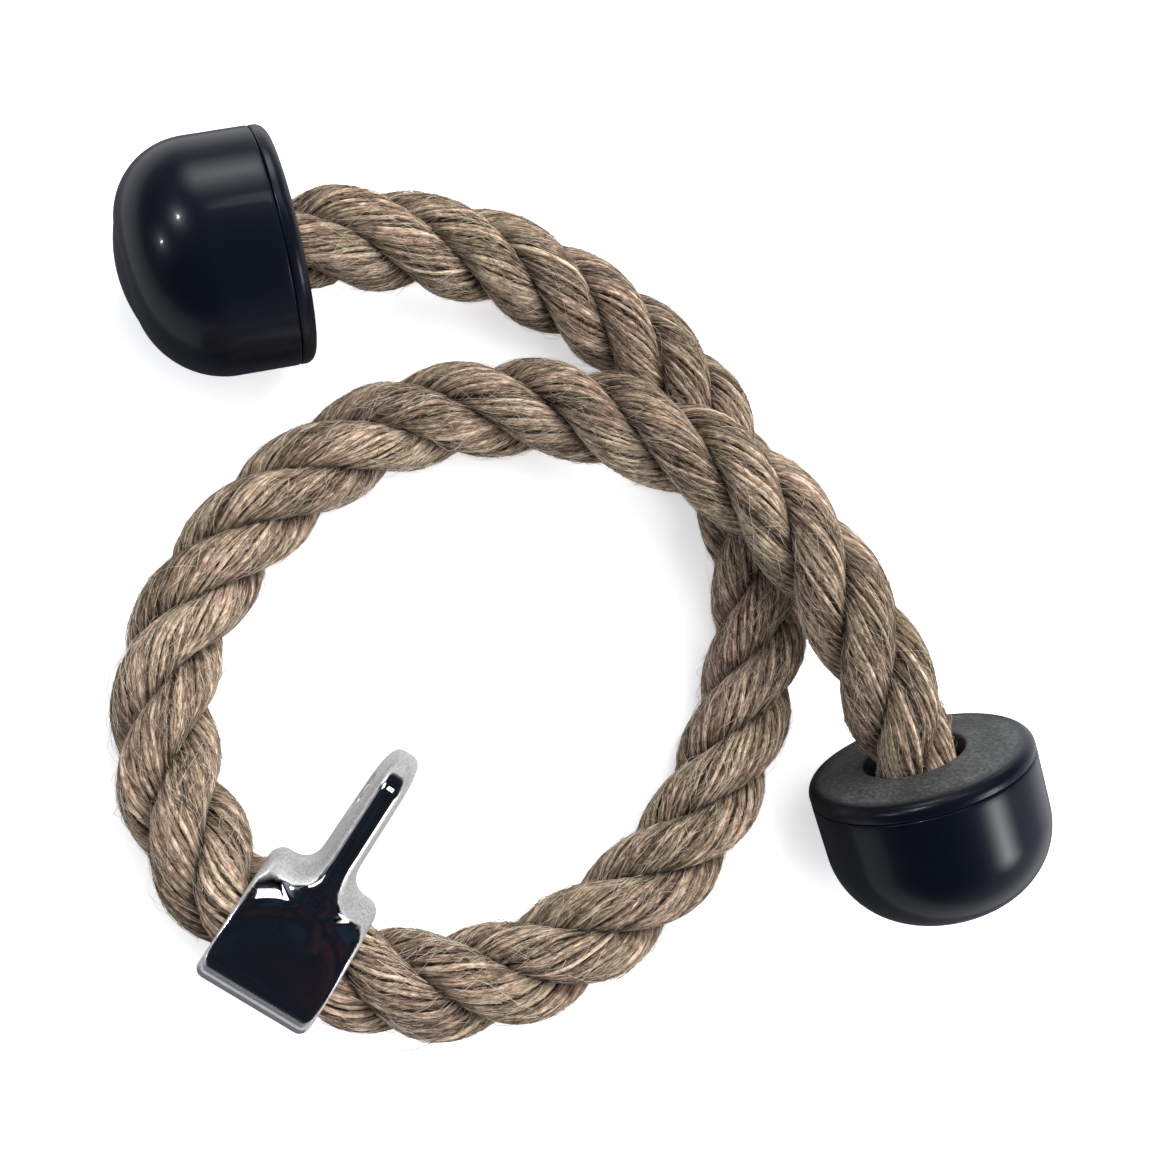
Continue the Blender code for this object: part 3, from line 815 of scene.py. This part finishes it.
def blend_of(tree, share, first, second):
    """The first colour where the share is nought, the second where it is one."""
    mix = add(tree, "ShaderNodeMix", data_type="RGBA")
    tree.links.new(share, mix.inputs["Factor"])
    for socket, colour in ((mix.inputs["A"], first), (mix.inputs["B"], second)):
        if isinstance(colour, tuple):
            socket.default_value = (*colour, 1)
        else:
            tree.links.new(colour, socket)
    return mix.outputs["Result"]


def value_of(tree, name):
    """What point_values stored under that name."""
    return add(tree, "ShaderNodeAttribute", attribute_name=name).outputs["Fac"]


def bump_of(tree, height, strength, distance, normal=None):
    bump = set_in(add(tree, "ShaderNodeBump"), Strength=strength, Distance=distance)
    tree.links.new(height, bump.inputs["Height"])
    if normal is not None:
        tree.links.new(normal, bump.inputs["Normal"])
    return bump.outputs["Normal"]


def jute_material():
    """Grey-brown yarns with long fine streaks, and painted shade that darkens the grooves between
    yarns and strands.
    """
    material, tree, shader = new_material("jute_yarn")
    stretch = add(tree, "ShaderNodeMapping")
    stretch.inputs["Scale"].default_value = (110.0, 1000.0, 1.0)
    stretch.inputs["Rotation"].default_value = (0, 0, 0.03)
    uv = add(tree, "ShaderNodeUVMap", uv_map="OFBake")
    tree.links.new(uv.outputs["UV"], stretch.inputs["Vector"])
    streaks = noise_of(tree, 1.0, 6.0, 0.7, stretch.outputs["Vector"])
    coarse = noise_of(tree, 420.0, 2.0, 0.6)
    patches = noise_of(tree, 60.0, 2.0, 0.5)

    seeded = sum_of(tree, value_of(tree, "yarn_seed"), 0.22, streaks)
    yarn = ramp_of(tree, sum_of(tree, coarse, 0.35, seeded), (
        (0.56, (0.026, 0.018, 0.013)), (0.68, (0.122, 0.085, 0.060)),
        (0.82, (0.355, 0.259, 0.182)), (0.94, (0.760, 0.608, 0.455))))
    tint = ramp_of(tree, patches, (
        (0.28, (1.0, 0.89, 0.92)), (0.50, (1.0, 0.97, 0.96)), (0.72, (0.93, 0.97, 0.84))))
    # painted shade: yarns darken where they dip toward their strand's core, and where the strand
    # lies deep toward the rope's axis
    painted_yarn_groove_shade = grey_of(tree, value_of(tree, "yarn_lift"), -0.55, 0.45, 0.48, 1.0)
    painted_strand_hollow_shade = grey_of(tree, value_of(tree, "yarn_depth"), 0.55, 0.92, 0.22, 1.0)
    colour = multiply(tree, multiply(tree, yarn, tint), multiply(tree, painted_yarn_groove_shade, painted_strand_hollow_shade))
    tree.links.new(colour, shader.inputs["Base Color"])
    tree.links.new(bump_of(tree, streaks, 0.8, 0.0003), shader.inputs["Normal"])
    shader.inputs["Roughness"].default_value = 0.85
    shader.inputs["Specular IOR Level"].default_value = 0.2
    return material


def fibre_material():
    material, tree, shader = new_material("jute_fibre")
    colour = ramp_of(tree, value_of(tree, "yarn_seed"), (
        (0.0, (0.025, 0.017, 0.012)), (0.30, (0.15, 0.107, 0.074)),
        (0.65, (0.47, 0.37, 0.27)), (1.0, (0.93, 0.83, 0.67))))
    tree.links.new(colour, shader.inputs["Base Color"])
    shader.inputs["Roughness"].default_value = 0.6
    shader.inputs["Specular IOR Level"].default_value = 0.3
    return material


def noise_bump(tree, shader, scale, detail, strength, distance):
    height = noise_of(tree, scale, detail, 0.5)
    tree.links.new(bump_of(tree, height, strength, distance), shader.inputs["Normal"])
    return height


def chrome_material():
    """Bright plating: the front is mirror polished, the flanks keep a satin, sandy cast skin, and
    sides facing -Y keep less satin as painted shade.
    """
    material, tree, shader = new_material("polished_chrome")
    links = tree.links
    # satin share of the flanks, lowered on sides facing -Y as painted shade
    satin_and_shade = value_of(tree, "satin_and_shade_share")
    waver = noise_of(tree, 75.0, 2.0, 0.5)
    sand = noise_of(tree, 1500.0, 3.0, 0.6)
    grain = add(tree, "ShaderNodeMath", operation="MULTIPLY")
    links.new(sand, grain.inputs[0])
    links.new(satin_and_shade, grain.inputs[1])
    broad = bump_of(tree, waver, 0.35, 0.0002)
    fine = bump_of(tree, grain.outputs[0], 0.35, 0.00012, broad)
    links.new(fine, shader.inputs["Normal"])
    links.new(spread_of(tree, satin_and_shade, 0.045, 0.42), shader.inputs["Roughness"])
    links.new(spread_of(tree, satin_and_shade, 1.0, 0.62), shader.inputs["Metallic"])
    speck = grey_of(tree, sand, 0.35, 0.65, 0.44, 0.66)
    links.new(blend_of(tree, satin_and_shade, (0.80, 0.81, 0.83), speck), shader.inputs["Base Color"])
    return material


def gloss_rubber():
    """Smooth moulded rubber, near black, with a faint waver and uneven polish."""
    material, tree, shader = new_material("gloss_rubber")
    grain = noise_bump(tree, shader, 38.0, 2.0, 0.10, 0.0003)
    tree.links.new(spread_of(tree, grain, 0.30, 0.36, 0.3, 0.7), shader.inputs["Roughness"])
    shader.inputs["Base Color"].default_value = (*RUBBER_COLOUR, 1)
    shader.inputs["Specular IOR Level"].default_value = 0.16
    shader.inputs["Coat Weight"].default_value = 0.24
    shader.inputs["Coat Roughness"].default_value = 0.10
    shader.inputs["Coat IOR"].default_value = 1.40
    return material


def face_rubber():
    """The face: rubbed matt and speckled in the middle, and polished like the cup at its rim."""
    material, tree, shader = new_material("face_rubber")
    links = tree.links
    grain = noise_bump(tree, shader, 900.0, 4.0, 0.35, 0.00012)
    share = value_of(tree, "matt_share")
    cloud = noise_of(tree, 70.0, 4.0, 0.6)
    matt = ramp_of(tree, sum_of(tree, cloud, 0.6, grain), (
        (0.55, (0.027, 0.029, 0.027)), (0.80, (0.051, 0.053, 0.052)),
        (1.00, (0.095, 0.097, 0.098))))
    links.new(blend_of(tree, share, RUBBER_COLOUR, matt), shader.inputs["Base Color"])
    links.new(spread_of(tree, share, 0.28, 0.55), shader.inputs["Roughness"])
    shader.inputs["Specular IOR Level"].default_value = 0.30
    return material


def metal_material(name, colour, roughness):
    material, tree, shader = new_material(name)
    noise = noise_of(tree, 400.0, 3.0, 0.6)
    level = spread_of(tree, noise, roughness - 0.06, roughness + 0.10)
    tree.links.new(level, shader.inputs["Roughness"])
    shader.inputs["Base Color"].default_value = (*colour, 1)
    shader.inputs["Metallic"].default_value = 1.0
    return material


# Stage

def aimed(tree, direction, aim, low=-1.0, high=1.0, interpolation="LINEAR"):
    """A share that rises from nought to one as the direction turns toward the aim."""
    toward = add(tree, "ShaderNodeVectorMath", operation="DOT_PRODUCT")
    toward.inputs[1].default_value = Vector(aim).normalized()
    tree.links.new(direction, toward.inputs[0])
    share = set_in(add(tree, "ShaderNodeMapRange", interpolation_type=interpolation),
                   From_Min=low, From_Max=high)
    tree.links.new(toward.outputs["Value"], share.inputs["Value"])
    return share.outputs["Result"]


def glow_of(tree, colour):
    glow = add(tree, "ShaderNodeBackground")
    if isinstance(colour, tuple):
        glow.inputs["Color"].default_value = (*colour, 1)
    else:
        tree.links.new(colour, glow.inputs["Color"])
    return glow.outputs[0]


def either_of(tree, share, first, second):
    """The first shader where the share is nought, the second where it is one."""
    mix = add(tree, "ShaderNodeMixShader")
    tree.links.new(share, mix.inputs["Fac"])
    tree.links.new(first, mix.inputs[1])
    tree.links.new(second, mix.inputs[2])
    return mix.outputs[0]


def make_world():
    """White to the camera, even light, and for reflections a dark sky in a pale surround."""
    world = bpy.data.worlds.new("studio")
    world.use_nodes = True
    tree = world.node_tree
    tree.nodes.clear()
    direction = add(tree, "ShaderNodeTexCoord").outputs["Generated"]
    gloom = add(tree, "ShaderNodeMath", operation="MAXIMUM")
    for socket, aim, reach in zip(gloom.inputs, (DARK_SKY, SOUTH_SKY), (DARK_EDGE, SOUTH_EDGE)):
        tree.links.new(aimed(tree, direction, aim, *reach, "SMOOTHSTEP"), socket)
    north = aimed(tree, direction, PALE_SKY)
    pale = ramp_of(tree, north, (
        (0.30, (0.080, 0.086, 0.105)), (0.75, (0.52, 0.54, 0.59))))
    cloud = noise_of(tree, 4.5, 3.0, 0.55, direction)
    dark = ramp_of(tree, cloud, (
        (0.35, (0.026, 0.016, 0.020)), (0.5, (0.008, 0.010, 0.015)),
        (0.65, (0.014, 0.024, 0.040))))
    even = ramp_of(tree, north, (
        (0.15, (0.44, 0.45, 0.47)), (0.85, (0.76, 0.78, 0.81))))
    rays = add(tree, "ShaderNodeLightPath").outputs
    mirror = glow_of(tree, blend_of(tree, gloom.outputs[0], pale, dark))
    unseen = either_of(tree, rays["Is Glossy Ray"], glow_of(tree, even), mirror)
    whole = either_of(tree, rays["Is Camera Ray"], unseen, glow_of(tree, (1, 1, 1)))
    out = add(tree, "ShaderNodeOutputWorld")
    tree.links.new(whole, out.inputs["Surface"])
    bpy.context.scene.world = world


def flat_sheet(name, wide, tall):
    """A level rectangle, by its half width and half height."""
    mesh = bpy.data.meshes.new(name)
    mesh.from_pydata([(-wide, -tall, 0), (wide, -tall, 0), (wide, tall, 0), (-wide, tall, 0)],
                     [], [(0, 1, 2, 3)])
    return link(bpy.data.objects.new(name, mesh))


def only_in_reflections(obj):
    """Stage furniture that nothing but a reflection sees."""
    obj.visible_camera = False
    obj.visible_diffuse = False
    obj.visible_shadow = False


def make_floor():
    """A pale floor that keeps the object's shadow. Reflections see a greyer one."""
    floor = flat_sheet("floor", FLOOR_HALF_WIDTH, FLOOR_HALF_WIDTH)
    floor.location.z = -FLOOR_DROP
    material, tree, shader = new_material("pale_floor")
    shader.inputs["Roughness"].default_value = 0.9
    shader.inputs["Specular IOR Level"].default_value = 0.0
    shader.inputs["Emission Color"].default_value = (1, 1, 1, 1)
    rays = add(tree, "ShaderNodeLightPath").outputs
    mirrored = (FLOOR_IN_CHROME, FLOOR_IN_CHROME, FLOOR_IN_CHROME * 1.01)
    tone = blend_of(tree, rays["Is Glossy Ray"], (FLOOR_GREY,) * 3, mirrored)
    tree.links.new(tone, shader.inputs["Base Color"])
    glow = spread_of(tree, rays["Is Camera Ray"], 0.0, FLOOR_GLOW)
    tree.links.new(glow, shader.inputs["Emission Strength"])
    floor.data.materials.append(material)


def make_flag(name, place, radius, grey):
    """A round dark card on the floor, seen in reflections alone, as a studio uses for rubber."""
    turn = np.arange(FLAG_SIDES) * TAU / FLAG_SIDES
    rim = [(radius * math.cos(a), radius * math.sin(a), 0) for a in turn]
    mesh = bpy.data.meshes.new(name)
    mesh.from_pydata(rim, [], [tuple(range(FLAG_SIDES))])
    flag = link(bpy.data.objects.new(name, mesh))
    flag.location = (*place, -FLOOR_DROP / 2)
    material, tree, shader = new_material(name)
    shader.inputs["Base Color"].default_value = (grey, grey, grey * 1.1, 1)
    shader.inputs["Roughness"].default_value = 0.9
    mesh.materials.append(material)
    only_in_reflections(flag)


def area_lamp(name, place, aim, size, power):
    data = bpy.data.lights.new(name, "AREA")
    data.shape = "RECTANGLE"
    data.size, data.size_y = size
    data.energy = power
    lamp = link(bpy.data.objects.new(name, data))
    lamp.location = place
    lamp.rotation_euler = (Vector(aim) - Vector(place)).to_track_quat("-Z", "Y").to_euler()
    return lamp


def plain_lamp(name, place, size, power):
    """A large soft lamp that lights the object and doesn't show in its reflections."""
    area_lamp(name, place, (0.0, 0.1, 0.0), size, power).visible_glossy = False


def glint(name, start, direction, distance, size, power):
    """A lamp for reflections alone. It stands off a point in a direction, and looks back."""
    place = Vector(start) + Vector(direction).normalized() * distance
    area_lamp(name, place, start, size, power).visible_diffuse = False


def soft_card(name, start, direction, distance, size, strength):
    """A glowing card for reflections alone, that fades to nothing at its edge."""
    place = Vector(start) + Vector(direction).normalized() * distance
    card = flat_sheet(name, size[0] / 2, size[1] / 2)
    card.location = place
    card.rotation_euler = (Vector(start) - place).to_track_quat("-Z", "Y").to_euler()
    material = bpy.data.materials.new(name)
    material.use_nodes = True
    tree = material.node_tree
    tree.nodes.clear()
    middle = add(tree, "ShaderNodeMapping")
    middle.inputs["Scale"].default_value = (2, 2, 0)
    middle.inputs["Location"].default_value = (-1, -1, 0)
    across = add(tree, "ShaderNodeTexCoord")
    tree.links.new(across.outputs["Generated"], middle.inputs["Vector"])
    ball = add(tree, "ShaderNodeTexGradient", gradient_type="QUADRATIC_SPHERE")
    tree.links.new(middle.outputs["Vector"], ball.inputs["Vector"])
    glow = add(tree, "ShaderNodeEmission")
    power = spread_of(tree, ball.outputs["Fac"], 0.0, strength)
    tree.links.new(power, glow.inputs["Strength"])
    out = add(tree, "ShaderNodeOutputMaterial")
    tree.links.new(glow.outputs[0], out.inputs["Surface"])
    card.data.materials.append(material)
    only_in_reflections(card)


def make_lamps():
    plain_lamp("key", (0.0, 0.95, 0.85), (0.7, 0.7), 11.0)
    plain_lamp("fill", (0.80, 0.15, 0.80), (0.8, 0.8), 5.0)
    plain_lamp("top", (0.05, 0.42, 0.90), (0.8, 0.8), 4.4)
    left_cap, right_cap = (-0.12, 0.13, 0.06), (0.14, 0.12, 0.06)
    glint("spot_high", left_cap, (-0.589, -0.161, 0.792), 0.9, (0.020, 0.020), 1.9)
    glint("spot_low", left_cap, (-0.679, -0.569, 0.464), 0.9, (0.016, 0.016), 0.9)
    glint("window", (-0.010, 0.007, 0.037), (-0.288, 0.489, 0.826), 0.9, (0.19, 0.19), 0.40)
    glint("tip_window", (0.0, 0.050, 0.036), (0.07, 0.465, 0.883), 0.9, (0.09, 0.12), 0.13)
    soft_card("side_card", right_cap, (0.82, 0.01, 0.57), 0.7, (0.42, 0.60), 20.0)
    soft_card("near_card", (-0.12, 0.15, 0.066), (-0.55, 0.60, 0.58), 0.35, (0.36, 0.36), 8.5)
    soft_card("rim_card", (-0.09, 0.17, 0.06), (0.23, 0.95, 0.22), 0.45, (0.24, 0.16), 7.0)


def main():
    clear_scene()
    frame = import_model()
    make_camera()
    bpy.context.scene.view_settings.view_transform = "Standard"

    left_out = facing(LEFT_CAP_HEADING, LEFT_CAP_PITCH)
    right_out = facing(RIGHT_CAP_HEADING, RIGHT_CAP_PITCH)
    left_centre = np.array([*LEFT_CAP_PLACE, face_height(LEFT_CAP_PITCH)])
    right_centre = np.array([*RIGHT_CAP_PLACE, face_height(RIGHT_CAP_PITCH)])
    jute = jute_material()
    fibre = fibre_material()
    nudge = RIGHT_CAP_NUDGE * facing(RIGHT_CAP_HEADING + math.pi / 2, 0.0)
    for name, way, run, centre, out, lay_facts, swell, sideways, seed in (
        ("left_rope", 1, LEFT_RUN, left_centre, left_out, LEFT_LAY, LEFT_SWELL, 0 * nudge, 5),
        ("right_rope", -1, RIGHT_RUN, right_centre, right_out, RIGHT_LAY, RIGHT_SWELL, nudge, 11),
    ):
        lay = Lay(rope_route(way, run, centre, out), *lay_facts, swell, sideways)
        leg = make_rope(name, lay, seed, jute)
        layers = [make_fibres(name + "_fibres_" + layer, lay, seed + 1 + i, fibre)
                  for i, layer in enumerate(FIBRE_LAYERS)]
        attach(leg, "rope_and_caps")
        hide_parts(name + "_leg")
        for fibres in layers:
            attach(fibres, "rope_and_caps")

    casting = make_bracket(chrome_material())
    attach(casting, "bracket")
    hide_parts("eye_bracket")
    rubber, face = gloss_rubber(), face_rubber()
    make_cap("left", left_centre, left_out, 0.0, 0.0, rubber, face)
    make_cap("right", right_centre, right_out, RIGHT_CAP_SKEW, RIGHT_HOLE_SHIFT, rubber, face)
    zinc = metal_material("zinc_plate", (0.55, 0.56, 0.58), 0.35)
    ferrule = metal_material("ferrule_aluminium", (0.62, 0.63, 0.65), 0.40)
    for side in ("left", "right"):
        for node, finish in (("_retaining_washer", zinc), ("_rope_ferrule", ferrule)):
            data = frame["nodes"][side + node].data
            data.materials.clear()
            data.materials.append(finish)

    make_world()
    make_floor()
    make_flag("left_flag", (-0.120, 0.150), 0.095, 0.10)
    make_flag("right_flag", (0.145, 0.110), 0.095, 0.10)
    make_flag("middle_flag", (0.0, -0.0798), 0.061, 0.07)
    make_lamps()


main()
